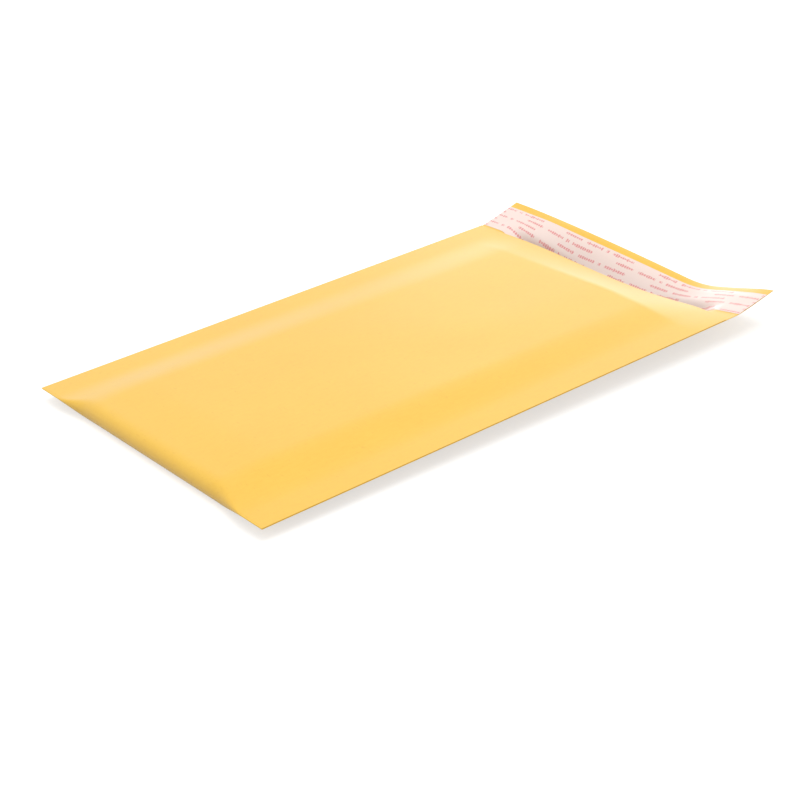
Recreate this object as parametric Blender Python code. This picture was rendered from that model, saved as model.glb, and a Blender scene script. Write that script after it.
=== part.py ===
"""Padded bubble mailer, lying on its back with its flap open.

One sheet of kraft paper is folded across its bottom end and sealed to itself down both long sides.
A pouch of bubble film lines it, and the back of the sheet runs on past the mouth as a flap.
The flap carries a strip of glue under a peel-off liner.

Frame, in metres: X across the mailer, Y from the bottom fold to the flap, Z up.
The origin is at the middle of the footprint, on the surface that the back panel lies on.
"""

import math

import bmesh
import bpy

# Overall sizes
MAILER_WIDTH = 0.160
BODY_LENGTH = 0.234
FLAP_LENGTH = 0.0224

# Sheet materials
PAPER_THICKNESS = 0.0003
LINING_THICKNESS = 0.0024
LINING_MOUTH_THICKNESS = 0.0012
GLUE_THICKNESS = 0.0003
LINER_THICKNESS = 0.0003
SHEET_CLEARANCE = 0.0003

# Side seams, and the padded shoulder beside each one
SEAM_WIDTH = 0.0115
SHOULDER_WIDTH = 0.022
FRONT_SHOULDER_WIDTH = 0.026
LINING_EDGE_THICKNESS = 0.0010
LINING_WELD_WIDTH = 0.003

# Heights of the seam plane, and of the front panel over it along the middle
SEAM_HEIGHT_AT_FOLD = 0.0054
SEAM_HEIGHT_AT_MOUTH = 0.0111
FOLD_CROWN = 0.0030
BELLY_CROWN = 0.0041
MOUTH_CROWN = 0.0014
FOLD_RISE_LENGTH = 0.030
FOLD_RECESS = 0.0020

# The mouth: its front edge slopes down and sags most to the right of the middle
MOUTH_SLOPE_LENGTH = 0.017
MOUTH_SLOPE_POWER = 1.0
LIP_SAG = 0.0039
LIP_SAG_X = 0.025
LIP_SAG_START_X = -0.068
LINING_SETBACK = 0.006

# The flap: rises of its far edge over the seam plane, and how softly it bends at the dip
FLAP_LEFT_RISE = 0.0056
FLAP_DIP = 0.0043
FLAP_DIP_X = 0.040
FLAP_RIGHT_RISE = 0.0046
FLAP_LEFT_BEND = 1.35
FLAP_RIGHT_BEND = 1.15
FLAP_BEND_REACH = 0.007
FLAP_TWIST_CURL = 1.2
FLAP_LEVEL_SHARE = 0.05
FLAP_SPREAD_SHARE = 0.22
FLAP_SHOULDER_SPREAD = 1.2

# The closure strip on the flap, measured from the mouth line
LINER_START = 0.0015
LINER_WIDTH = 0.0170
GLUE_START = 0.0045
GLUE_WIDTH = 0.0110
GLUE_SIDE_MARGIN = 0.004

# Number of facets
SEAM_STEPS = 2
SHOULDER_STEPS = 3
FLAT_STEPS = 4
SLOPE_STEPS = 4
BODY_STEPS = 5
RISE_STEPS = 3
FOLD_STEPS = 8

# Places that follow from the sizes above
HALF_WIDTH = MAILER_WIDTH / 2
OVERALL_LENGTH = BODY_LENGTH + FLAP_LENGTH
FOLD_END_Y = -OVERALL_LENGTH / 2
MOUTH_Y = FOLD_END_Y + BODY_LENGTH
SEAM_INNER_X = HALF_WIDTH - SEAM_WIDTH
FLAT_HALF_WIDTH = SEAM_INNER_X - SHOULDER_WIDTH
FOLD_HEIGHT = SEAM_HEIGHT_AT_FOLD + PAPER_THICKNESS + FOLD_CROWN
LINING_MOUTH_Y = MOUTH_Y - LINING_SETBACK


def smoothstep(share):
    """Rise from 0 to 1 with level ends."""
    share = min(max(share, 0.0), 1.0)
    return share * share * (3 - 2 * share)


def inverse_smoothstep(height):
    """The share at which smoothstep reaches a height."""
    return 0.5 - math.sin(math.asin(1 - 2 * height) / 3)


def blend(start, end, share):
    """A value part of the way from start to end."""
    return start + (end - start) * share


def spread(start, end, steps):
    """Evenly spaced values after start, up to and including end."""
    return [blend(start, end, step / steps) for step in range(1, steps)] + [end]


def fullness(x, shoulder=SHOULDER_WIDTH):
    """0 on a side seam, 1 over the flat middle of the mailer."""
    return smoothstep((SEAM_INNER_X - abs(x)) / shoulder)


def mouth_nearness(y):
    """1 at the mouth, falling to 0 where the front panel's slope begins."""
    share = 1 - (MOUTH_Y - y) / MOUTH_SLOPE_LENGTH
    return min(max(share, 0.0), 1.0) ** MOUTH_SLOPE_POWER


def lip_sag(x):
    """How far the mouth's front edge hangs below the line between the seams."""
    if x < LIP_SAG_X:
        share = (x - LIP_SAG_START_X) / (LIP_SAG_X - LIP_SAG_START_X)
        return LIP_SAG * smoothstep(share) ** 1.5
    share = (HALF_WIDTH - x) / (HALF_WIDTH - LIP_SAG_X)
    return LIP_SAG * math.sqrt(smoothstep(share))


def seam_height(y):
    """Height of the straight line along each side seam."""
    return blend(SEAM_HEIGHT_AT_FOLD, SEAM_HEIGHT_AT_MOUTH, (y - FOLD_END_Y) / BODY_LENGTH)


def middle_height(x, y):
    """Height of the surface on which the front and back panels meet."""
    return seam_height(y) - lip_sag(x) * mouth_nearness(y)


def crown(y):
    """Height of the front panel's middle over the seam plane."""
    along = (y - FOLD_END_Y) / BODY_LENGTH
    rise = smoothstep((y - FOLD_END_Y - FOLD_RECESS) / FOLD_RISE_LENGTH)
    padded = blend(BELLY_CROWN, MOUTH_CROWN, along) - (BELLY_CROWN - FOLD_CROWN) * (1 - rise)
    return padded * (1 - mouth_nearness(y))


def front_height(x, y):
    """Outer face of the front panel."""
    return middle_height(x, y) + PAPER_THICKNESS + crown(y) * fullness(x, FRONT_SHOULDER_WIDTH)


def back_height(x, y, shoulder=SHOULDER_WIDTH):
    """Outer face of the back panel, flat on the ground between the shoulders."""
    return (middle_height(x, y) - PAPER_THICKNESS) * (1 - fullness(x, shoulder))


def flap_edge_line(x):
    """Rise of the flap's far edge over the seam plane, as two curves that meet in a sharp dip."""
    x = min(max(x, -HALF_WIDTH), HALF_WIDTH)
    if x < FLAP_DIP_X:
        share = (x + HALF_WIDTH) / (FLAP_DIP_X + HALF_WIDTH)
        return blend(FLAP_LEFT_RISE, -FLAP_DIP, share ** FLAP_LEFT_BEND)
    share = (x - FLAP_DIP_X) / (HALF_WIDTH - FLAP_DIP_X)
    return blend(-FLAP_DIP, FLAP_RIGHT_RISE, share ** FLAP_RIGHT_BEND)


def flap_edge_rise(x):
    """The same line with its dip rounded, as the mean of five places on it."""
    places = [x + FLAP_BEND_REACH * step / 2 for step in range(-2, 3)]
    return sum(flap_edge_line(place) for place in places) / len(places)


def flap_height(x, y):
    """Underside of the flap, which runs on from the back panel, rises to the seam plane and twists."""
    share = max(y - MOUTH_Y, 0.0) / FLAP_LENGTH
    rise = smoothstep((share - FLAP_LEVEL_SHARE) / (1 - FLAP_LEVEL_SHARE))
    twist = blend(share ** FLAP_TWIST_CURL, rise, fullness(x))
    widening = 1 + FLAP_SHOULDER_SPREAD * smoothstep(share / FLAP_SPREAD_SHARE - 1)
    root = back_height(x, MOUTH_Y, SHOULDER_WIDTH * widening)
    return blend(root, SEAM_HEIGHT_AT_MOUTH, rise) + flap_edge_rise(x) * twist


def lining_edge_x():
    """Where the space inside the paper gets too thin for the lining."""
    needed = 2 * SHEET_CLEARANCE + LINING_EDGE_THICKNESS
    return SEAM_INNER_X - SHOULDER_WIDTH * inverse_smoothstep(needed / FOLD_HEIGHT)


LINING_EDGE_X = lining_edge_x()
POCKET_EDGE_X = LINING_EDGE_X - LINING_WELD_WIDTH


def pocket_share(x):
    """How far the pocket is open: 0 at its side weld, 1 over the flat middle."""
    return smoothstep((POCKET_EDGE_X - abs(x)) / (POCKET_EDGE_X - FLAT_HALF_WIDTH))


def mirrored(half):
    """A list of places from -X to +X, from the places on the +X side."""
    return [-place for place in reversed(half)] + [0.0] + half


def width_places(outermost):
    """Places across the mailer that every sheet shares, out to its own edge."""
    half = spread(0.0, FLAT_HALF_WIDTH, FLAT_STEPS)
    half += spread(FLAT_HALF_WIDTH, POCKET_EDGE_X, SHOULDER_STEPS)
    half += [LINING_EDGE_X, SEAM_INNER_X]
    half += spread(SEAM_INNER_X, HALF_WIDTH, SEAM_STEPS)
    inside = [place for place in half if place < outermost - SHEET_CLEARANCE]
    return mirrored(inside + [outermost])


def length_places(mouth_end):
    """Places along the body that every sheet shares, from its mouth down to the fold."""
    slope_end = MOUTH_Y - MOUTH_SLOPE_LENGTH
    rise_end = FOLD_END_Y + FOLD_RECESS + FOLD_RISE_LENGTH
    fold_start = FOLD_END_Y + FOLD_RECESS + FOLD_HEIGHT
    places = [MOUTH_Y, blend(MOUTH_Y, LINING_MOUTH_Y, 0.5), LINING_MOUTH_Y]
    places += spread(LINING_MOUTH_Y, slope_end, SLOPE_STEPS)
    places += spread(slope_end, rise_end, BODY_STEPS)
    places += spread(rise_end, fold_start, RISE_STEPS)
    return [place for place in places if place <= mouth_end + SHEET_CLEARANCE]


def flap_places():
    """Places along the flap, with a row at each edge of the strip that it carries."""
    starts = [LINER_START, GLUE_START]
    ends = [GLUE_START + GLUE_WIDTH, LINER_START + LINER_WIDTH, FLAP_LENGTH]
    middle = [GLUE_START + GLUE_WIDTH / 2]
    return [MOUTH_Y + place for place in starts + middle + ends]


class Section:
    """One lengthwise cut of a pouch: an outer and an inner line, from mouth to fold and back."""

    def __init__(self, x, rows, inset, wall):
        """The outer line lies inset inside the paper's outer face; wall(x, y) is the thickness."""
        fold_top = front_height(x, FOLD_END_Y) - inset
        fold_bottom = back_height(x, FOLD_END_Y) + inset
        radius = (fold_top - fold_bottom) / 2
        centre_z = (fold_top + fold_bottom) / 2
        centre_y = FOLD_END_Y + FOLD_RECESS * fullness(x) + radius + inset
        fold_wall = wall(x, centre_y)

        front = [(y, front_height(x, y) - inset, wall(x, y)) for y in rows]
        back = [(y, back_height(x, y) + inset, wall(x, y)) for y in reversed(rows)]
        angles = [math.pi * step / FOLD_STEPS for step in range(FOLD_STEPS + 1)]

        def turn(size):
            return [(centre_y - size * math.sin(a), centre_z + size * math.cos(a)) for a in angles]

        outer_front = [(y, z) for y, z, _ in front]
        outer_back = [(y, z) for y, z, _ in back]
        inner_front = [(y, z - thickness) for y, z, thickness in front]
        inner_back = [(y, z + thickness) for y, z, thickness in back]
        outer_line = outer_front + turn(radius) + outer_back
        inner_line = inner_front + turn(radius - fold_wall) + inner_back
        self.outer = [(x, y, z) for y, z in outer_line]
        self.inner = [(x, y, z) for y, z in inner_line]
        self.turn_centre = (x, centre_y, centre_z)


def add_face(bm, corners):
    """Add a face, leaving out a corner that repeats the one before it."""
    ring = [corner for index, corner in enumerate(corners) if corner is not corners[index - 1]]
    if len(ring) > 2:
        bm.faces.new(ring)


def add_strip(bm, line_a, line_b, turned=False):
    """Join two lines of corners, step by step, with four-sided faces.

    A turned strip faces the other way. Its faces still start at the same corner, so that they
    are cut into triangles along the same diagonal, and a twisted sheet keeps its thickness.
    """
    for index in range(len(line_a) - 1):
        first, *others = line_a[index], line_a[index + 1], line_b[index + 1], line_b[index]
        if turned:
            others.reverse()
        add_face(bm, [first] + others)


def finish_object(name, bm, material):
    """Turn a closed bmesh into a named object."""
    bmesh.ops.recalc_face_normals(bm, faces=bm.faces)
    bmesh.ops.triangulate(bm, faces=bm.faces, quad_method="FIXED")
    mesh = bpy.data.meshes.new(name)
    bm.to_mesh(mesh)
    bm.free()
    mesh.materials.append(material)
    mesh.shade_smooth()
    mesh.set_sharp_from_angle(angle=math.radians(40))
    node = bpy.data.objects.new(name, mesh)
    bpy.context.scene.collection.objects.link(node)
    return node


def make_pouch(name, places, rows, hollow_edge, inset, wall, material, flap_rows=()):
    """Make a sheet folded at the bottom and closed at its sides, open at the mouth.

    Between the places -hollow_edge and hollow_edge the pouch is hollow, and outside them its two
    layers are one. flap_rows continue the back layer past the mouth.
    """
    bm = bmesh.new()
    outer_lines = []
    inner_lines = []
    hollow = []
    last_body_point = 2 * len(rows) + FOLD_STEPS
    for x in places:
        section = Section(x, rows, inset, wall)
        outer = [bm.verts.new(point) for point in section.outer]
        hollow.append(abs(x) <= hollow_edge)
        if abs(x) < hollow_edge:
            inner = [bm.verts.new(point) for point in section.inner]
        else:
            # The two layers meet here, so one corner serves the front and the back of each row.
            # In the solid margin only the row at the mouth needs one.
            shared = [None] * len(rows)
            turn_corner = None
            for row in range(len(rows) if hollow[-1] else 1):
                height = (section.outer[row][2] + section.outer[-1 - row][2]) / 2
                shared[row] = bm.verts.new((x, rows[row], height))
            if hollow[-1]:
                turn_corner = bm.verts.new(section.turn_centre)
            inner = shared + [turn_corner] * (FOLD_STEPS + 1) + shared[::-1]
        for y in flap_rows:
            underside = flap_height(x, y)
            outer.append(bm.verts.new((x, y, underside)))
            inner.append(bm.verts.new((x, y, underside + PAPER_THICKNESS)))
        outer_lines.append(outer)
        inner_lines.append(inner)

    for index in range(len(places) - 1):
        outer_a, outer_b = outer_lines[index], outer_lines[index + 1]
        inner_a, inner_b = inner_lines[index], inner_lines[index + 1]
        add_strip(bm, outer_a, outer_b)
        add_strip(bm, [outer_a[0], inner_a[0]], [outer_b[0], inner_b[0]])
        add_strip(bm, [inner_a[-1], outer_a[-1]], [inner_b[-1], outer_b[-1]])
        if hollow[index] and hollow[index + 1]:
            add_strip(bm, inner_a, inner_b, turned=True)
        else:
            add_strip(bm, inner_a[last_body_point:], inner_b[last_body_point:], turned=True)

    for side in (0, -1):
        outer, inner = outer_lines[side], inner_lines[side]
        front_side = outer[:len(rows)]
        back_side = outer[last_body_point:last_body_point - len(rows):-1]
        add_face(bm, [inner[0], front_side[0], front_side[1], back_side[1], back_side[0]])
        add_strip(bm, front_side[1:], back_side[1:])
        add_face(bm, outer[len(rows) - 1:last_body_point - len(rows) + 2])
        add_strip(bm, outer[last_body_point:], inner[last_body_point:])
    return finish_object(name, bm, material)


def make_flap_sheet(name, places, rows, lift, thickness, material):
    """Make a thin sheet that lies over the flap, lifted clear of its upper face."""
    bm = bmesh.new()
    low_lines = []
    high_lines = []
    for x in places:
        low = [(x, y, flap_height(x, y) + PAPER_THICKNESS + lift) for y in rows]
        low_lines.append([bm.verts.new(point) for point in low])
        high_lines.append([bm.verts.new((x, y, z + thickness)) for x, y, z in low])
    for index in range(len(places) - 1):
        low_a, low_b = low_lines[index], low_lines[index + 1]
        high_a, high_b = high_lines[index], high_lines[index + 1]
        add_strip(bm, low_a, low_b)
        add_strip(bm, high_a, high_b, turned=True)
        for end in (0, -1):
            add_face(bm, [low_a[end], high_a[end], high_b[end], low_b[end]])
    for side in (0, -1):
        add_strip(bm, low_lines[side], high_lines[side])
    return finish_object(name, bm, material)


def make_material(name, colour, roughness, alpha=1.0):
    """A plain Principled material."""
    material = bpy.data.materials.new(name)
    material.use_nodes = True
    shader = material.node_tree.nodes["Principled BSDF"]
    shader.inputs["Base Color"].default_value = (*colour, 1.0)
    shader.inputs["Roughness"].default_value = roughness
    shader.inputs["Metallic"].default_value = 0.0
    shader.inputs["Alpha"].default_value = alpha
    return material


def paper_wall(x, y):
    """The paper is as thick everywhere."""
    return PAPER_THICKNESS


def lining_wall(x, y):
    """The lining thins towards its mouth, and its two walls meet at the side welds."""
    inset = PAPER_THICKNESS + SHEET_CLEARANCE
    height_here = front_height(x, y) - back_height(x, y) - 2 * inset
    height_middle = front_height(0.0, y) - back_height(0.0, y) - 2 * inset
    near_mouth = mouth_nearness(y) / mouth_nearness(LINING_MOUTH_Y)
    thickness = blend(LINING_THICKNESS, LINING_MOUTH_THICKNESS, min(near_mouth, 1.0))
    gap = (height_middle - 2 * thickness) * pocket_share(x)
    return (height_here - gap) / 2


def build_mailer():
    """Make the four pieces."""
    for leftover in list(bpy.data.objects):
        bpy.data.objects.remove(leftover, do_unlink=True)

    kraft = make_material("kraft_paper", (0.83, 0.53, 0.12), 0.55)
    film = make_material("bubble_film", (0.86, 0.89, 0.90), 0.25)
    glue = make_material("hot_melt_glue", (0.87, 0.80, 0.62), 0.35)
    release = make_material("release_paper", (0.92, 0.68, 0.62), 0.30)

    strip_rows = flap_places()
    liner_rows = strip_rows[:-1]
    glue_rows = strip_rows[1:-2]
    glue_lift = SHEET_CLEARANCE
    liner_lift = glue_lift + GLUE_THICKNESS + SHEET_CLEARANCE
    lining_inset = PAPER_THICKNESS + SHEET_CLEARANCE

    make_pouch("kraft_envelope", width_places(HALF_WIDTH), length_places(MOUTH_Y), SEAM_INNER_X,
               0.0, paper_wall, kraft, strip_rows)
    make_pouch("bubble_lining", width_places(LINING_EDGE_X), length_places(LINING_MOUTH_Y),
               POCKET_EDGE_X, lining_inset, lining_wall, film)
    make_flap_sheet("glue_strip", width_places(HALF_WIDTH - GLUE_SIDE_MARGIN), glue_rows,
                    glue_lift, GLUE_THICKNESS, glue)
    make_flap_sheet("release_liner", width_places(HALF_WIDTH), liner_rows,
                    liner_lift, LINER_THICKNESS, release)


build_mailer()
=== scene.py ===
# %% [markdown]
# # A padded kraft mailer
#
# A bubble mailer is one sheet of golden kraft paper, folded across its bottom end and sealed to
# itself down both long sides. Inside lies a pouch of bubble film. The back of the sheet runs on
# past the mouth as a flap, which carries a strip of glue under a pink peel-off liner.
#
# The machine that makes it prints, glues and lines the paper while it is flat, and folds it last.
# This lesson does the same: each layer starts as a flat sheet, and one folding rule bends every
# layer into its place. It could also be built panel by panel, but then the layers would have to
# be matched by hand wherever they meet.

# %% Load the measured model
import math

import bpy
from mathutils import Matrix, Vector, noise


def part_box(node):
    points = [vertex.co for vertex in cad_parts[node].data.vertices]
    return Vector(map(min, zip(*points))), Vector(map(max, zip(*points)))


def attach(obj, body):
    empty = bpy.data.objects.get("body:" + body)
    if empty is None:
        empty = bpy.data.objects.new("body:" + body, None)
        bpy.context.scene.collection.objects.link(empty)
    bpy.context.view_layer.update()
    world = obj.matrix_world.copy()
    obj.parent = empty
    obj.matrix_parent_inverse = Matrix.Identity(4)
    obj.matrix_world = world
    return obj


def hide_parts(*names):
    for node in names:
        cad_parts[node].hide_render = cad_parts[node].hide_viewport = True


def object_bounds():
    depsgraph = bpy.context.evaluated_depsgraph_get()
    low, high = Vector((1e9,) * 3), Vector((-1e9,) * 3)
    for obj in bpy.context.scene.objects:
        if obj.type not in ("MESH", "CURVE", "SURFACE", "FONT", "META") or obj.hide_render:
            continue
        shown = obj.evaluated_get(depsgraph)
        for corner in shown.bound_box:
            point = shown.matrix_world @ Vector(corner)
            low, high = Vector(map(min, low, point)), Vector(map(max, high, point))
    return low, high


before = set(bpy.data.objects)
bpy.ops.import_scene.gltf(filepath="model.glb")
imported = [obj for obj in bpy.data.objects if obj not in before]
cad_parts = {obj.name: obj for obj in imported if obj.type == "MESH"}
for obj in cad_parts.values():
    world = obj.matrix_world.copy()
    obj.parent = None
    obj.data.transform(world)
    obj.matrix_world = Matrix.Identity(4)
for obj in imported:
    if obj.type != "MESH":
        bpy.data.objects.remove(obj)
cad_low, cad_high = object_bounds()
print("Solid model:", [round(side * 1000, 1) for side in cad_high - cad_low], "mm")

# %% [markdown]
# ## Lengths along the mailer
#
# The solid model has already fixed the outline of the mailer, so the lengths are taken from it:
# the whole box gives the width and both ends, and the liner's near edge gives the place of the
# mouth, because the liner starts a set distance past it.

# %% Measure the mailer
MM = 0.001

HALF_WIDTH = cad_high.x
FOLD_END_Y = cad_low.y
FLAP_END_Y = cad_high.y
liner_low, liner_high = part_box("release_liner")
LINER_START = 1.5 * MM
LINER_WIDTH = liner_high.y - liner_low.y
MOUTH_Y = liner_low.y - LINER_START
BODY_LENGTH = MOUTH_Y - FOLD_END_Y
FLAP_LENGTH = FLAP_END_Y - MOUTH_Y
print(f"Body {BODY_LENGTH / MM:.1f} mm, flap {FLAP_LENGTH / MM:.1f} mm, liner {LINER_WIDTH / MM:.1f} mm")

# %% [markdown]
# ## Heights of the panels
#
# The side seams climb a little from the fold to the mouth. Between them the front panel is
# padded, so it swells in a low crown, and the back panel rests flat on the table. Near the mouth
# the padding ends and the front panel slopes down to its lip, which sags between the seams. The
# padding ends a little askew, so from just right of the middle that slope grows longer.

# %% Name the heights
SOLID_PAPER = 0.3 * MM
SEAM_WIDTH = 11.5 * MM
SEAM_INNER_X = HALF_WIDTH - SEAM_WIDTH
SHOULDER_WIDTH = 22 * MM
FRONT_SHOULDER_WIDTH = 26 * MM
SEAM_HEIGHT_AT_FOLD = 5.4 * MM
SEAM_HEIGHT_AT_MOUTH = 11.1 * MM
FOLD_CROWN = 3.0 * MM
BELLY_CROWN = 4.1 * MM
MOUTH_CROWN = 1.4 * MM
FOLD_RISE_LENGTH = 30 * MM
FOLD_RECESS = 2.0 * MM
MOUTH_SLOPE_LENGTH = 17 * MM
MOUTH_SLOPE_SPREAD = 5 * MM
MOUTH_SPREAD_START_X = 10 * MM
LIP_SAG = 3.9 * MM
LIP_SAG_X = 25 * MM
LIP_SAG_START_X = -68 * MM
LIP_SAG_CURVE = 1.5
print(f"The seams are {SEAM_HEIGHT_AT_FOLD / MM:.1f} mm up at the fold")
print(f"and {SEAM_HEIGHT_AT_MOUTH / MM:.1f} mm up at the mouth")

# %% [markdown]
# ## The camera
#
# The photograph looks down over the bottom right corner of the mailer. Its view was worked out
# from the plane of the side seams, so the camera is placed in that plane's own axes, measured
# from the bottom left corner of the paper, and then carried into the model's axes. Typing one
# world matrix would also work, but it would hide what the camera was measured from.

# %% Place the camera
CAMERA_FROM_CORNER = Vector((602.0, -254.4, 293.0)) * MM
CAMERA_TURN = math.radians(54.38)
CAMERA_TILT = math.radians(26.19)
CAMERA_ROLL = math.radians(-5.465)
CAMERA_LENS = 78.09
SENSOR_WIDTH = 36.0

seam_slope = math.atan((SEAM_HEIGHT_AT_MOUTH - SEAM_HEIGHT_AT_FOLD) / BODY_LENGTH)
corner = Vector((-HALF_WIDTH, FOLD_END_Y, SEAM_HEIGHT_AT_FOLD))
seam_axes = Matrix.Translation(corner) @ Matrix.Rotation(seam_slope, 4, "X")
turned = Matrix.Rotation(CAMERA_TURN, 4, "Z")
tilted = turned @ Matrix.Rotation(math.pi / 2 - CAMERA_TILT, 4, "X")
rolled = tilted @ Matrix.Rotation(CAMERA_ROLL, 4, "Z")

bpy.ops.object.select_all(action="DESELECT")
bpy.ops.object.camera_add()
camera = bpy.context.object
camera.name = "photo_camera"
camera.data.lens = CAMERA_LENS
camera.data.sensor_width = SENSOR_WIDTH
camera.matrix_world = seam_axes @ Matrix.Translation(CAMERA_FROM_CORNER) @ rolled
bpy.context.scene.camera = camera
print("Camera at", [round(part, 3) for part in camera.matrix_world.translation])

# %% [markdown]
# ## Soft steps
#
# Paper over padding has no sharp edges, so each height changes along an S-shaped step. The
# same small function shapes the shoulders beside the seams, the rise above the fold and the
# twist of the flap.


# %% Soft steps and straight blends
def smooth(share):
    """An S-shaped step from 0 to 1."""
    share = min(max(share, 0.0), 1.0)
    return share * share * (3 - 2 * share)


def blend(start, end, share):
    """The value that lies a share of the way from start to end."""
    return start + (end - start) * share


print("Halfway up a soft step:", smooth(0.5))

# %% [markdown]
# ## The front and back panels
#
# Each panel is a height above the table for every place on it. `fullness` is 0 on the sealed
# seams and 1 over the padding. `mouth_nearness` is 0 on the body and 1 at the lip.


# %% Heights across the padding
def fullness(x, shoulder=SHOULDER_WIDTH):
    """How far a place has risen over the shoulder beside the seam, from 0 to 1."""
    return smooth((SEAM_INNER_X - abs(x)) / shoulder)


def mouth_nearness(x, y):
    """How far down the slope to the lip a place is, from 0 to 1."""
    to_the_right = smooth((x - MOUTH_SPREAD_START_X) / (HALF_WIDTH - MOUTH_SPREAD_START_X))
    share = 1 - (MOUTH_Y - y) / (MOUTH_SLOPE_LENGTH + MOUTH_SLOPE_SPREAD * to_the_right)
    return min(max(share, 0.0), 1.0)


def lip_sag(x):
    """How far the lip hangs below the line from seam to seam, most of it right of the middle."""
    if x < LIP_SAG_X:
        share = (x - LIP_SAG_START_X) / (LIP_SAG_X - LIP_SAG_START_X)
        return LIP_SAG * smooth(share) ** LIP_SAG_CURVE
    share = (HALF_WIDTH - x) / (HALF_WIDTH - LIP_SAG_X)
    return LIP_SAG * math.sqrt(smooth(share))


print(f"The lip sags {lip_sag(LIP_SAG_X) / MM:.1f} mm")


# %% Heights of both panels
def middle_height(x, y):
    """The surface halfway between the panels, on which the seams lie."""
    seam = blend(SEAM_HEIGHT_AT_FOLD, SEAM_HEIGHT_AT_MOUTH, (y - FOLD_END_Y) / BODY_LENGTH)
    return seam - lip_sag(x) * mouth_nearness(x, y)


def crown(x, y):
    """How far the padding lifts the front panel above the seams."""
    along = (y - FOLD_END_Y) / BODY_LENGTH
    rise = smooth((y - FOLD_END_Y - FOLD_RECESS) / FOLD_RISE_LENGTH)
    padded = blend(BELLY_CROWN, MOUTH_CROWN, along) - (BELLY_CROWN - FOLD_CROWN) * (1 - rise)
    return padded * (1 - mouth_nearness(x, y))


def front_height(x, y):
    """The paper's outer face on the front."""
    return middle_height(x, y) + SOLID_PAPER + crown(x, y) * fullness(x, FRONT_SHOULDER_WIDTH)


def back_height(x, y, shoulder=SHOULDER_WIDTH):
    """The paper's outer face on the back, which lies on the table where the mailer is full."""
    return (middle_height(x, y) - SOLID_PAPER) * (1 - fullness(x, shoulder))


print(f"The front panel's middle is {front_height(0.0, 0.0) / MM:.1f} mm above the table")

# %% [markdown]
# ## The flap
#
# The flap runs on from the back panel, so its root lies low behind the lip. From there it curls
# up to the height of the seams, and its free edge is lifted at both corners and dips on the
# right. Its edge is described first, as straight runs whose kinks are rounded by averaging
# neighbouring places, and the flap then climbs to that edge.

# %% Shape the flap's free edge
FLAP_LEFT_RISE = 5.6 * MM
FLAP_DIP = 4.3 * MM
FLAP_DIP_X = 40 * MM
FLAP_RIGHT_RISE = 4.6 * MM
FLAP_LEFT_BEND = 1.35
FLAP_RIGHT_BEND = 1.15
FLAP_BEND_REACH = 7 * MM


def flap_edge_line(x):
    """The edge as straight runs: down to the dip, then up to the right corner."""
    x = min(max(x, -HALF_WIDTH), HALF_WIDTH)
    if x < FLAP_DIP_X:
        share = (x + HALF_WIDTH) / (FLAP_DIP_X + HALF_WIDTH)
        return blend(FLAP_LEFT_RISE, -FLAP_DIP, share ** FLAP_LEFT_BEND)
    share = (x - FLAP_DIP_X) / (HALF_WIDTH - FLAP_DIP_X)
    return blend(-FLAP_DIP, FLAP_RIGHT_RISE, share ** FLAP_RIGHT_BEND)


def flap_edge_rise(x):
    """The edge line with its kinks rounded."""
    places = [x + FLAP_BEND_REACH * step / 2 for step in range(-2, 3)]
    return sum(flap_edge_line(place) for place in places) / len(places)


print(f"The flap's left corner rises {flap_edge_rise(-HALF_WIDTH) / MM:.1f} mm")
print(f"and its right corner {flap_edge_rise(HALF_WIDTH) / MM:.1f} mm")

# %% Climb from the flap's root to its edge
FLAP_TWIST_CURL = 1.2
FLAP_LEVEL_SHARE = 0.05
FLAP_SPREAD_SHARE = 0.22
FLAP_SHOULDER_SPREAD = 1.2


def flap_height(x, y):
    """The flap's lower face, from its root beside the lip to its free edge."""
    share = max(y - MOUTH_Y, 0.0) / FLAP_LENGTH
    rise = smooth((share - FLAP_LEVEL_SHARE) / (1 - FLAP_LEVEL_SHARE))
    twist = blend(share ** FLAP_TWIST_CURL, rise, fullness(x))
    widening = 1 + FLAP_SHOULDER_SPREAD * smooth(share / FLAP_SPREAD_SHARE - 1)
    root = back_height(x, MOUTH_Y, SHOULDER_WIDTH * widening)
    return blend(root, SEAM_HEIGHT_AT_MOUTH, rise) + flap_edge_rise(x) * twist


def flap_steepness(x, y):
    """How much taller than thick a sheet on the flap is, where the flap is steep."""
    step = 0.5 * MM
    slope_x = (flap_height(x + step, y) - flap_height(x - step, y)) / (2 * step)
    slope_y = (flap_height(x, y + step) - flap_height(x, y - step)) / (2 * step)
    return math.sqrt(1 + slope_x ** 2 + slope_y ** 2)


print(f"The flap's edge is {flap_height(FLAP_DIP_X, FLAP_END_Y) / MM:.1f} mm up at its dip")

# %% [markdown]
# ## The folding rule
#
# A point of a flat layer has a place across the mailer, a distance along the sheet from the
# front panel's mouth edge, and a depth inside the paper's outer face. The rule carries it down
# the front panel, round the bottom fold as a half circle, up the back panel and out along the
# flap. Since every layer goes through the same rule with its own depth, the layers can't cross.

# %% Fold a point of a flat layer
FOLD_RADIUS = (SEAM_HEIGHT_AT_FOLD + SOLID_PAPER + FOLD_CROWN) / 2
PANEL_LENGTH = BODY_LENGTH - FOLD_RECESS - FOLD_RADIUS
TURN_LENGTH = math.pi * FOLD_RADIUS
POUCH_LENGTH = 2 * PANEL_LENGTH + TURN_LENGTH
SHEET_LENGTH = POUCH_LENGTH + FLAP_LENGTH


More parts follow.
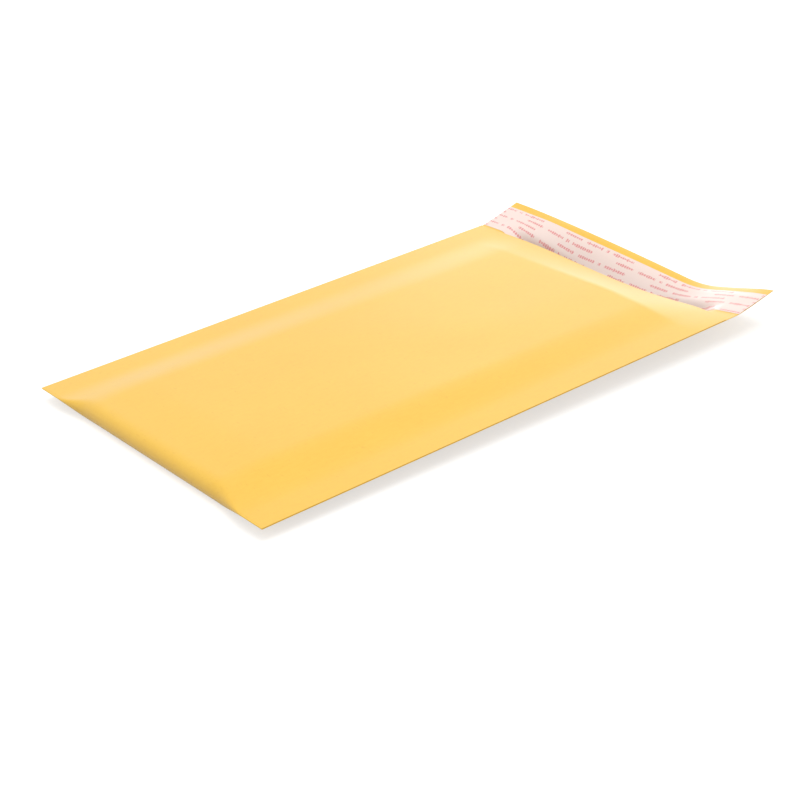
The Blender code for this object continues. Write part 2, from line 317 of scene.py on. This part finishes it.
def fold_point(x, along, depth):
    """Where a point of a flat layer lies once the mailer is folded."""
    radius = (front_height(x, FOLD_END_Y) - back_height(x, FOLD_END_Y)) / 2
    turn_z = (front_height(x, FOLD_END_Y) + back_height(x, FOLD_END_Y)) / 2
    turn_y = FOLD_END_Y + FOLD_RECESS * fullness(x) + radius
    if along < PANEL_LENGTH:
        y = blend(MOUTH_Y, turn_y, along / PANEL_LENGTH)
        return Vector((x, y, front_height(x, y) - depth))
    if along < PANEL_LENGTH + TURN_LENGTH:
        angle = math.pi * (along - PANEL_LENGTH) / TURN_LENGTH
        reach = radius - depth
        return Vector((x, turn_y - reach * math.sin(angle), turn_z + reach * math.cos(angle)))
    if along < POUCH_LENGTH:
        y = blend(turn_y, MOUTH_Y, (along - PANEL_LENGTH - TURN_LENGTH) / PANEL_LENGTH)
        return Vector((x, y, back_height(x, y) + depth))
    y = MOUTH_Y + along - POUCH_LENGTH
    return Vector((x, y, flap_height(x, y) + depth * flap_steepness(x, y)))


print(f"Flat sheet: {2 * HALF_WIDTH / MM:.0f} by {SHEET_LENGTH / MM:.0f} mm")

# %% [markdown]
# ## Flat layers
#
# Every layer starts as a grid primitive, stretched to its flat size in edit mode. The grid's
# own UV map runs once across and once along the flat sheet, so a pattern drawn on it stays on
# the sheet however it is folded. Solidify then gives the bent layer its thickness, which is
# what makes it a closed shell instead of a surface with no back.


# %% Cut and thicken a flat layer
def flat_layer(name, width, start, end, columns, rows):
    """A flat grid, centred across X, that runs along Y from start to end."""
    bpy.ops.object.select_all(action="DESELECT")
    bpy.ops.mesh.primitive_grid_add(x_subdivisions=columns, y_subdivisions=rows, size=1.0)
    layer = bpy.context.object
    layer.name = name
    layer.data.name = name
    bpy.ops.object.mode_set(mode="EDIT")
    bpy.ops.mesh.select_all(action="SELECT")
    bpy.ops.transform.resize(value=(width, end - start, 1.0))
    bpy.ops.transform.translate(value=(0.0, (start + end) / 2, 0.0))
    bpy.ops.object.mode_set(mode="OBJECT")
    print(name, "is cut", round(width / MM), "by", round((end - start) / MM), "mm")
    return layer


def thicken(layer, thickness):
    """Give a layer its thickness, half on each side."""
    bpy.context.view_layer.objects.active = layer
    solidify = layer.modifiers.new("thickness", "SOLIDIFY")
    solidify.thickness = thickness
    solidify.offset = 0.0
    bpy.ops.object.modifier_apply(modifier=solidify.name)


# %% Finish a piece
CREASE_ANGLE = math.radians(40)


def finish_piece(piece, node, finish):
    """Face a piece outwards, smooth it, and let it stand for its solid."""
    bpy.ops.object.select_all(action="DESELECT")
    piece.select_set(True)
    bpy.context.view_layer.objects.active = piece
    bpy.ops.object.mode_set(mode="EDIT")
    bpy.ops.mesh.select_all(action="SELECT")
    bpy.ops.mesh.normals_make_consistent(inside=False)
    bpy.ops.object.mode_set(mode="OBJECT")
    bpy.ops.object.shade_smooth_by_angle(angle=CREASE_ANGLE)
    piece.data.materials.clear()
    piece.data.materials.append(finish)
    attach(piece, "root")
    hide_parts(node)
    print(piece.name, "has", len(piece.data.polygons), "faces")


# %% [markdown]
# ## Tools for finishes
#
# Every finish here is one Principled shader fed by noise, which gives its colour, its roughness
# and its bump. A few things come up each time: a new material, a noise that can be stretched
# along an axis, a range for a value, a mix of colours, some arithmetic, and a bump. They are
# written once, so that each finish below shows only its own choices.


# %% Start a finish and add noise to it
def start_finish(name, colour):
    """A new material with its node tree and its main shader."""
    finish = bpy.data.materials.new(name)
    finish.use_nodes = True
    shader = finish.node_tree.nodes["Principled BSDF"]
    shader.inputs["Base Color"].default_value = (*colour, 1.0)
    return finish, finish.node_tree, shader


def stretched_noise(tree, scales, detail, turn=0.0):
    """Noise in object coordinates, with its own scale along each axis."""
    place = tree.nodes.new("ShaderNodeTexCoord")
    stretch = tree.nodes.new("ShaderNodeMapping")
    stretch.inputs["Scale"].default_value = scales
    stretch.inputs["Rotation"].default_value = (0.0, 0.0, turn)
    tree.links.new(place.outputs["Object"], stretch.inputs["Vector"])
    texture = tree.nodes.new("ShaderNodeTexNoise")
    texture.inputs["Scale"].default_value = 1.0
    texture.inputs["Detail"].default_value = detail
    tree.links.new(stretch.outputs["Vector"], texture.inputs["Vector"])
    return texture.outputs["Fac"]


# %% Use a value in a finish
def value_range(tree, value, low, high, from_low=0.0, from_high=1.0):
    """Spread a value from one range to another."""
    spread = tree.nodes.new("ShaderNodeMapRange")
    spread.inputs["From Min"].default_value = from_low
    spread.inputs["From Max"].default_value = from_high
    spread.inputs["To Min"].default_value = low
    spread.inputs["To Max"].default_value = high
    tree.links.new(value, spread.inputs["Value"])
    return spread.outputs["Result"]


def mix_colours(tree, share, first, second):
    """Mix two colours, each a colour or a socket, by the value of share."""
    mix = tree.nodes.new("ShaderNodeMix")
    mix.data_type = "RGBA"
    tree.links.new(share, mix.inputs[0])
    for socket, colour in ((mix.inputs[6], first), (mix.inputs[7], second)):
        if isinstance(colour, tuple):
            socket.default_value = (*colour, 1.0)
        else:
            tree.links.new(colour, socket)
    return mix.outputs[2]


def calculate(tree, operation, first, second=0.0):
    """A Math node, fed by sockets or plain numbers."""
    node = tree.nodes.new("ShaderNodeMath")
    node.operation = operation
    for socket, value in zip(node.inputs, (first, second)):
        if isinstance(value, (int, float)):
            socket.default_value = value
        else:
            tree.links.new(value, socket)
    return node.outputs[0]


def raise_grain(tree, shader, height, strength, distance):
    """Bump the surface by a height value."""
    grain = tree.nodes.new("ShaderNodeBump")
    grain.inputs["Strength"].default_value = strength
    grain.inputs["Distance"].default_value = distance
    tree.links.new(height, grain.inputs["Height"])
    tree.links.new(grain.outputs["Normal"], shader.inputs["Normal"])


# %% [markdown]
# ## Golden kraft paper
#
# Kraft paper is matt with a faint satin sheen, and its loose surface fibres make it turn pale
# where it is seen at a grazing angle, as on the slope down to the lip. A sheen of medium
# roughness gives that veil in any light. The colour itself comes from short fibres, which lie
# along the sheet, from a slow cloudiness and from a few darker flecks. A photograph of paper
# could do the same, but noise never repeats and needs no image.

# %% Mix the kraft paper
KRAFT_DARK = (0.88, 0.515, 0.046)
KRAFT_LIGHT = (0.91, 0.555, 0.060)
KRAFT_FLECK = (0.76, 0.40, 0.04)
FIBRE_SCALES = (900.0, 260.0, 900.0)
CLOUD_SCALES = (38.0, 38.0, 38.0)
FLECK_SCALES = (420.0, 1500.0, 420.0)
FLECK_TURN = 0.5
FLECK_STRENGTH = 0.35
CLOUD_SHARE = 0.45
KRAFT_ROUGHNESS = (0.38, 0.50)
KRAFT_SHEEN = 0.5
KRAFT_SHEEN_ROUGHNESS = 0.4
KRAFT_GRAIN = 0.12

kraft, tree, shader = start_finish("golden_kraft", KRAFT_LIGHT)
shader.inputs["Sheen Weight"].default_value = KRAFT_SHEEN
shader.inputs["Sheen Roughness"].default_value = KRAFT_SHEEN_ROUGHNESS
fibre = stretched_noise(tree, FIBRE_SCALES, detail=3.0)
cloud = stretched_noise(tree, CLOUD_SCALES, detail=2.0)
flecks = stretched_noise(tree, FLECK_SCALES, detail=4.0, turn=FLECK_TURN)
pulp = tree.nodes.new("ShaderNodeMix")
pulp.data_type = "FLOAT"
pulp.inputs[0].default_value = CLOUD_SHARE
tree.links.new(fibre, pulp.inputs[2])
tree.links.new(cloud, pulp.inputs[3])
pulp_share = value_range(tree, pulp.outputs[0], 0.0, 1.0, from_low=0.3, from_high=0.7)
plain_paper = mix_colours(tree, pulp_share, KRAFT_DARK, KRAFT_LIGHT)
fleck_share = value_range(tree, flecks, 0.0, FLECK_STRENGTH, from_low=0.60, from_high=0.74)
flecked_paper = mix_colours(tree, fleck_share, plain_paper, KRAFT_FLECK)
tree.links.new(flecked_paper, shader.inputs["Base Color"])
tree.links.new(value_range(tree, pulp.outputs[0], *KRAFT_ROUGHNESS), shader.inputs["Roughness"])
raise_grain(tree, shader, fibre, strength=KRAFT_GRAIN, distance=0.05 * MM)
print(kraft.name, "has", len(tree.nodes), "nodes")

# %% [markdown]
# ## Clear bubble film
#
# The film is clear polythene, a little milky, and never quite smooth: it is drawn thin over the
# bubbles and cockles between them. Real refraction through two crushed layers would only make
# noise, so plain see-through alpha stands for the clear film, and its wrinkles catch the light.

# %% Mix the bubble film
FILM_CLEAR = (0.90, 0.92, 0.93)
FILM_MILKY = (0.97, 0.98, 0.98)
FILM_ALPHA = 0.3
FILM_ROUGHNESS = (0.06, 0.22)
FILM_COCKLE = 0.35
COCKLE_SCALES = (420.0, 420.0, 420.0)

film, tree, shader = start_finish("clear_bubble_film", FILM_CLEAR)
shader.inputs["Alpha"].default_value = FILM_ALPHA
cockle = stretched_noise(tree, COCKLE_SCALES, detail=2.0)
tree.links.new(mix_colours(tree, cockle, FILM_CLEAR, FILM_MILKY), shader.inputs["Base Color"])
tree.links.new(value_range(tree, cockle, *FILM_ROUGHNESS), shader.inputs["Roughness"])
raise_grain(tree, shader, cockle, strength=FILM_COCKLE, distance=0.3 * MM)
print(film.name, "has", len(tree.nodes), "nodes")

# %% [markdown]
# ## Hot-melt glue
#
# The glue is a soft amber film that is laid on in stripes along the flap, so it is slightly
# ribbed and uneven. It is almost hidden under the liner and shows only at its own edges.

# %% Mix the glue
GLUE_PALE = (0.90, 0.82, 0.60)
GLUE_AMBER = (0.80, 0.67, 0.40)
GLUE_ROUGHNESS = (0.22, 0.40)
GLUE_RIBS = 0.3
RIB_SCALES = (60.0, 900.0, 900.0)

glue, tree, shader = start_finish("hot_melt_glue", GLUE_PALE)
ribs = stretched_noise(tree, RIB_SCALES, detail=2.0)
tree.links.new(mix_colours(tree, ribs, GLUE_PALE, GLUE_AMBER), shader.inputs["Base Color"])
tree.links.new(value_range(tree, ribs, *GLUE_ROUGHNESS), shader.inputs["Roughness"])
raise_grain(tree, shader, ribs, strength=GLUE_RIBS, distance=0.1 * MM)
print(glue.name, "has", len(tree.nodes), "nodes")

# %% [markdown]
# ## Pink liner
#
# The liner is a thin, slick pink film. The real one is printed with rows of small red words.
# Here they become rows of small red dashes: runs of short strokes of uneven height, with a dot
# between them, and every second row starts further on. They could be drawn on an image, but
# arithmetic on the liner's own UV map keeps them sharp at any distance and on the curved flap.

# %% Start the liner's finish
LINER_PINK = (0.97, 0.79, 0.725)
PRINT_RED = (0.86, 0.36, 0.35)
LINER_ALPHA = 0.92
LINER_ROUGHNESS = (0.28, 0.42)
LINER_WRINKLES = 0.15
WRINKLE_SCALES = (90.0, 420.0, 420.0)

liner_film, tree, shader = start_finish("pink_release_film", LINER_PINK)
shader.inputs["Alpha"].default_value = LINER_ALPHA
wrinkles = stretched_noise(tree, WRINKLE_SCALES, detail=3.0)
tree.links.new(value_range(tree, wrinkles, *LINER_ROUGHNESS), shader.inputs["Roughness"])
raise_grain(tree, shader, wrinkles, strength=LINER_WRINKLES, distance=0.15 * MM)
print(liner_film.name, "is started")

# %% Find each place's row
PRINT_ROW_PITCH = 2.9 * MM
PRINT_FIRST_ROW = 1.0 * MM

sheet_place = tree.nodes.new("ShaderNodeUVMap")
sheet_place.uv_map = "UVMap"
split = tree.nodes.new("ShaderNodeSeparateXYZ")
tree.links.new(sheet_place.outputs["UV"], split.inputs[0])
across_sheet = calculate(tree, "MULTIPLY", split.outputs["X"], 2 * HALF_WIDTH)
along_sheet = calculate(tree, "MULTIPLY", split.outputs["Y"], LINER_WIDTH)
from_first_row = calculate(tree, "SUBTRACT", along_sheet, PRINT_FIRST_ROW)
rows_along = calculate(tree, "DIVIDE", from_first_row, PRINT_ROW_PITCH)
row_number = calculate(tree, "ROUND", rows_along)
past_row = calculate(tree, "SUBTRACT", rows_along, row_number)
from_row = calculate(tree, "ABSOLUTE", past_row)
print("Rows on the liner:", int((LINER_WIDTH - PRINT_FIRST_ROW) / PRINT_ROW_PITCH) + 1)

# %% Make strokes of uneven height
STROKE_PITCH = 1.35 * MM
STROKE_HEIGHT = 0.95 * MM
STROKE_GAP = 0.24
STROKE_UNEVENNESS = 1.3

stroke_place = tree.nodes.new("ShaderNodeCombineXYZ")
strokes_across = calculate(tree, "DIVIDE", across_sheet, STROKE_PITCH)
tree.links.new(strokes_across, stroke_place.inputs["X"])
tree.links.new(row_number, stroke_place.inputs["Y"])
uneven = tree.nodes.new("ShaderNodeTexNoise")
uneven.inputs["Scale"].default_value = STROKE_UNEVENNESS
uneven.inputs["Detail"].default_value = 0.0
tree.links.new(stroke_place.outputs["Vector"], uneven.inputs["Vector"])
half_height = calculate(tree, "MULTIPLY", uneven.outputs["Fac"], STROKE_HEIGHT / PRINT_ROW_PITCH)
in_row = calculate(tree, "LESS_THAN", from_row, half_height)
stroke_share = calculate(tree, "FRACT", strokes_across)
stroke = calculate(tree, "GREATER_THAN", stroke_share, STROKE_GAP)
print(f"One stroke every {STROKE_PITCH / MM:.1f} mm")

# %% Group the strokes into dashes
DASH_PERIOD = 59 * MM
ROW_SHIFT = 0.6
FIRST_DASH = 0.72
DASHES = ((0.01, 0.19), (0.245, 0.42), (0.46, 0.49), (0.53, 0.75))
BARE = (0.0, 0.0, 0.0, 1.0)
INKED = (1.0, 1.0, 1.0, 1.0)

odd_row = calculate(tree, "MODULO", row_number, 2.0)
shift = calculate(tree, "MULTIPLY", odd_row, ROW_SHIFT)
periods_across = calculate(tree, "DIVIDE", across_sheet, DASH_PERIOD)
shifted = calculate(tree, "ADD", periods_across, shift)
period_place = calculate(tree, "FRACT", calculate(tree, "ADD", shifted, FIRST_DASH))
dash_ramp = tree.nodes.new("ShaderNodeValToRGB")
dash_ramp.color_ramp.interpolation = "CONSTANT"
dash_ramp.color_ramp.elements[0].color = BARE
dash_ramp.color_ramp.elements.remove(dash_ramp.color_ramp.elements[1])
for dash_start, dash_end in DASHES:
    dash_ramp.color_ramp.elements.new(dash_start).color = INKED
    dash_ramp.color_ramp.elements.new(dash_end).color = BARE
tree.links.new(period_place, dash_ramp.inputs["Fac"])
in_dash = calculate(tree, "MULTIPLY", in_row, dash_ramp.outputs["Color"])
inked = calculate(tree, "MULTIPLY", in_dash, stroke)
tree.links.new(mix_colours(tree, inked, LINER_PINK, PRINT_RED), shader.inputs["Base Color"])
print(liner_film.name, "has", len(tree.nodes), "nodes")

# %% [markdown]
# ## The kraft sheet
#
# One sheet makes the front, the fold, the back and the flap. It is thin but stiff, so over the
# padding it lies in long shallow waves, a fraction of a millimetre high. They are drawn with
# noise before folding and fade out towards the seams and the bottom fold, so that the back
# stays flat on the table. The lip was cut a little askew: at its right end it stops short of the
# flap's root, so a corner of bare paper shows between the lip and the liner.

# %% Cut and fold the paper
PAPER = 0.22 * MM
WAVE_WIDTH = 35 * MM
WAVE_LENGTH = 60 * MM
WAVE_HEIGHT = 0.18 * MM
WAVE_FADE = 40 * MM
LIP_CUT_BACK = 6 * MM
LIP_CUT_START_X = 52 * MM
LIP_CUT_CURVE = 1.5
LIP_CUT_FADE = 40 * MM

paper = flat_layer("kraft_paper_sheet", 2 * HALF_WIDTH, 0.0, SHEET_LENGTH, columns=100, rows=336)
for vertex in paper.data.vertices:
    x, along, _ = vertex.co
    wave = noise.noise(Vector((x / WAVE_WIDTH, along / WAVE_LENGTH, 0.0))) * WAVE_HEIGHT
    wave *= fullness(x) * smooth((PANEL_LENGTH - along) / WAVE_FADE)
    cut_share = max((x - LIP_CUT_START_X) / (HALF_WIDTH - LIP_CUT_START_X), 0.0)
    cut_back = LIP_CUT_BACK * cut_share ** LIP_CUT_CURVE
    along += cut_back * max(1 - along / LIP_CUT_FADE, 0.0)
    vertex.co = fold_point(x, along, SOLID_PAPER / 2 - wave)
thicken(paper, PAPER)
finish_piece(paper, "kraft_envelope", kraft)

# %% [markdown]
# ## The bubble film
#
# The lining is one length of bubble film, folded with the paper and welded to it along the
# sides. A bubble is a low dome with steep sides and a flat top, and there are hundreds, so one
# is modelled with few faces: a 14-sided disc, extruded upwards three times and narrowed each
# time. Two of them make the offset rows, and two arrays repeat the pair over the whole film.

# %% Lay out the flat film
FILM = 0.08 * MM
FILM_HALF_WIDTH = 62 * MM
FILM_SETBACK = 6 * MM
BUBBLE_RADIUS = 4.7 * MM
BUBBLE_HEIGHT = 2.2 * MM
BUBBLE_PITCH = 10.5 * MM
BUBBLE_MARGIN = 1 * MM
BUBBLE_ROW = BUBBLE_PITCH * math.sqrt(3) / 2

film_end = POUCH_LENGTH - FILM_SETBACK
film_width = 2 * FILM_HALF_WIDTH
lining = flat_layer("bubble_film_pouch", film_width, FILM_SETBACK, film_end, columns=50, rows=180)
thicken(lining, FILM)
bubble_room = film_width - 2 * BUBBLE_RADIUS - BUBBLE_PITCH / 2
bubbles_across = int(bubble_room / BUBBLE_PITCH) + 1
row_room = film_end - FILM_SETBACK - 2 * BUBBLE_RADIUS - BUBBLE_ROW
row_pairs = int(row_room / (2 * BUBBLE_ROW)) + 1
first_x = -(bubbles_across - 1) / 2 * BUBBLE_PITCH - BUBBLE_PITCH / 4
first_y = FILM_SETBACK + BUBBLE_RADIUS + BUBBLE_MARGIN
print("Bubbles:", bubbles_across * row_pairs * 2)

# %% Raise one pair of bubbles
BUBBLE_SIDES = 14
BUBBLE_STEPS = ((0.55, 0.97), (0.30, 0.86), (0.12, 0.62))
BUBBLE_TOP = 0.03

bpy.ops.object.select_all(action="DESELECT")
bpy.ops.mesh.primitive_circle_add(
    vertices=BUBBLE_SIDES, radius=BUBBLE_RADIUS, fill_type="NGON", location=(first_x, first_y, 0.0))
bubbles = bpy.context.object
bubbles.name = "bubbles"
bpy.ops.object.transform_apply(location=True, rotation=True, scale=True)
bpy.ops.object.mode_set(mode="EDIT")
bpy.ops.mesh.select_all(action="SELECT")
for rise, narrowing in BUBBLE_STEPS:
    bpy.ops.mesh.extrude_region_move(TRANSFORM_OT_translate={"value": (0.0, 0.0, BUBBLE_HEIGHT * rise)})
    bpy.ops.transform.resize(value=(narrowing, narrowing, 1.0), center_override=(first_x, first_y, 0.0))
bpy.ops.mesh.poke(offset=BUBBLE_TOP * BUBBLE_HEIGHT)
bpy.ops.mesh.select_all(action="SELECT")
bpy.ops.mesh.duplicate_move(TRANSFORM_OT_translate={"value": (BUBBLE_PITCH / 2, BUBBLE_ROW, 0.0)})
bpy.ops.object.mode_set(mode="OBJECT")
print("Faces on two bubbles:", len(bubbles.data.polygons))

# %% Repeat the pair and join it to the film
along_a_row = (bubbles_across, (BUBBLE_PITCH, 0.0, 0.0))
from_pair_to_pair = (row_pairs, (0.0, 2 * BUBBLE_ROW, 0.0))

for count, step in (along_a_row, from_pair_to_pair):
    array = bubbles.modifiers.new("rows", "ARRAY")
    array.count = count
    array.use_relative_offset = False
    array.use_constant_offset = True
    array.constant_offset_displace = step
    bpy.ops.object.modifier_apply(modifier=array.name)
bpy.ops.object.select_all(action="DESELECT")
bubbles.select_set(True)
lining.select_set(True)
bpy.context.view_layer.objects.active = lining
bpy.ops.object.join()
print("Points on the film:", len(lining.data.vertices))

# %% [markdown]
# The film is folded last, with its bubbles facing the paper's inner side. Near the mouth and at
# the side welds the bubbles are crushed flat, so the film keeps only part of its thickness
# there. The squeeze follows the room between the panels, which keeps both layers apart.

# %% Fold the film
FILM_TOP_DEPTH = 0.35 * MM
FILM_DEPTH = FILM_TOP_DEPTH + BUBBLE_HEIGHT
FILM_CRUSH_LENGTH = 16 * MM
FILM_CRUSH = 0.55


def film_squeeze(x, along):
    """How much of its own thickness the film keeps."""
    from_mouth = min(along, POUCH_LENGTH - along) - FILM_SETBACK
    crushed = blend(FILM_CRUSH, 1.0, smooth(from_mouth / FILM_CRUSH_LENGTH))
    y = fold_point(x, along, 0.0).y
    if PANEL_LENGTH < along < PANEL_LENGTH + TURN_LENGTH:
        y = FOLD_END_Y
    room = (front_height(x, y) - back_height(x, y)) / 2 - SOLID_PAPER
    return min(crushed, room / (FILM_DEPTH + FILM))


for vertex in lining.data.vertices:
    x, along, height = vertex.co
    depth = SOLID_PAPER + (FILM_DEPTH - height - SOLID_PAPER) * film_squeeze(x, along)
    vertex.co = fold_point(x, along, depth)
finish_piece(lining, "bubble_lining", film)

# %% [markdown]
# ## The glue strip
#
# The glue stops short of both sides of the flap. It is so thin that it is only a slightly
# raised stripe, lying on the inside of the flap, which faces up while the mailer is open. The
# glue and the liner over it are cut on the same 1 mm grid. With grids of their own, their faces
# would cut the flap's curves at different places, and the glue would poke through the liner.

# %% Lay the glue on the flap
GLUE_START = 4.5 * MM
GLUE_WIDTH = 11.0 * MM
GLUE_SIDE_MARGIN = 4 * MM
GLUE = 0.12 * MM
GLUE_GAP = 0.02 * MM
FLAP_GRID = 1 * MM

flap_top = SOLID_PAPER / 2 + PAPER / 2
glue_near = POUCH_LENGTH + GLUE_START
glue_length = 2 * (HALF_WIDTH - GLUE_SIDE_MARGIN)
columns = round(glue_length / FLAP_GRID)
rows = round(GLUE_WIDTH / FLAP_GRID)
glue_strip = flat_layer("hot_melt_strip", glue_length, glue_near, glue_near + GLUE_WIDTH, columns, rows)
for vertex in glue_strip.data.vertices:
    vertex.co = fold_point(vertex.co.x, vertex.co.y, flap_top + GLUE_GAP + GLUE / 2)
thicken(glue_strip, GLUE)
finish_piece(glue_strip, "glue_strip", glue)

# %% [markdown]
# ## The peel-off liner
#
# The liner is wider than the glue and as long as the flap is wide, so that it can be gripped. It
# lies on the glue and drops to the paper along both edges of it, which shows as a soft ridge.
# A flat strip would be simpler, but it would hang in the air beside the glue.

# %% Drape the liner over the glue
LINER = 0.06 * MM
LINER_GAP = 0.04 * MM
LINER_DROP = 2 * MM

liner_near = POUCH_LENGTH + LINER_START
columns = round(2 * HALF_WIDTH / FLAP_GRID)
rows = round(LINER_WIDTH / FLAP_GRID)
liner = flat_layer("peel_off_liner", 2 * HALF_WIDTH, liner_near, liner_near + LINER_WIDTH, columns, rows)
for vertex in liner.data.vertices:
    x, along, _ = vertex.co
    past_edge = (along - glue_near) / LINER_DROP
    before_edge = (glue_near + GLUE_WIDTH - along) / LINER_DROP
    over_glue = smooth(past_edge + 1) * smooth(before_edge + 1)
    vertex.co = fold_point(x, along, flap_top + LINER_GAP + LINER / 2 + GLUE * over_glue)
thicken(liner, LINER)
finish_piece(liner, "release_liner", liner_film)

# %% [markdown]
# ## The floor
#
# The mailer lies on a white table that runs into a white background. The floor has a plain grey
# colour, so it takes a shadow and throws little light back, and it glows only for the camera,
# which makes it look white without lighting the mailer. A white floor would need no glow, but it
# would light the mailer's underside too strongly.

# %% Lay the floor
FLOOR_SIZE = 8.0
FLOOR_GREY = (0.55, 0.55, 0.55)
FLOOR_ROUGHNESS = 0.8
FLOOR_GLOW = 0.62

bpy.ops.object.select_all(action="DESELECT")
bpy.ops.mesh.primitive_plane_add(size=FLOOR_SIZE)
floor = bpy.context.object
floor.name = "floor"
floor_white, tree, shader = start_finish("studio_white", FLOOR_GREY)
shader.inputs["Roughness"].default_value = FLOOR_ROUGHNESS
shader.inputs["Specular IOR Level"].default_value = 0.0
rays = tree.nodes.new("ShaderNodeLightPath")
glow = tree.nodes.new("ShaderNodeEmission")
camera_glow = calculate(tree, "MULTIPLY", rays.outputs["Is Camera Ray"], FLOOR_GLOW)
tree.links.new(camera_glow, glow.inputs["Strength"])
lit_and_glowing = tree.nodes.new("ShaderNodeAddShader")
tree.links.new(shader.outputs["BSDF"], lit_and_glowing.inputs[0])
tree.links.new(glow.outputs["Emission"], lit_and_glowing.inputs[1])
tree.links.new(lit_and_glowing.outputs["Shader"], tree.nodes["Material Output"].inputs["Surface"])
floor.data.materials.append(floor_white)
print("Floor:", FLOOR_SIZE, "m square")

# %% [markdown]
# ## The lights
#
# A large soft lamp overhead lights the paper evenly. A small low lamp close behind the left side
# only grazes it, and shines on the band that slopes down to the lip. Standing close, it lights
# the mouth much more than the fold end. With the large lamp alone, that band would look no
# paler than the rest of the paper.


# %% Hang the lamps
def soft_light(name, place, width, height, watts):
    """A rectangular lamp that faces the mailer."""
    bpy.ops.object.light_add(type="AREA", location=place)
    lamp = bpy.context.object
    lamp.name = name
    lamp.data.shape = "RECTANGLE"
    lamp.data.size = width
    lamp.data.size_y = height
    lamp.data.energy = watts
    lamp.rotation_euler = (-Vector(place)).to_track_quat("-Z", "Y").to_euler()
    print(name, "gives", watts, "W")


soft_light("key", (0.25, 0.05, 1.7), width=1.25, height=1.25, watts=11.5)
soft_light("low_back", (-0.45, 0.55, 0.10), width=0.4, height=0.15, watts=0.62)

# %% [markdown]
# ## The world
#
# The world fills the shadows with even white light a little below full strength. To the camera
# and in reflections it is plain white, so that the background and the gloss match.

# %% Light the world
SKY_STRENGTH = 0.8
BACKDROP_STRENGTH = 1.0

world = bpy.data.worlds.new("studio")
bpy.context.scene.world = world
world.use_nodes = True
tree = world.node_tree
sky = tree.nodes["Background"]
sky.inputs["Color"].default_value = (1.0, 1.0, 1.0, 1.0)
rays = tree.nodes.new("ShaderNodeLightPath")
seen = calculate(tree, "MAXIMUM", rays.outputs["Is Camera Ray"], rays.outputs["Is Glossy Ray"])
seen = calculate(tree, "MAXIMUM", seen, rays.outputs["Is Transmission Ray"])
strength = value_range(tree, seen, SKY_STRENGTH, BACKDROP_STRENGTH)
tree.links.new(strength, sky.inputs["Strength"])
bpy.context.scene.view_settings.view_transform = "Standard"
print("World:", SKY_STRENGTH, "on the mailer,", BACKDROP_STRENGTH, "behind it")
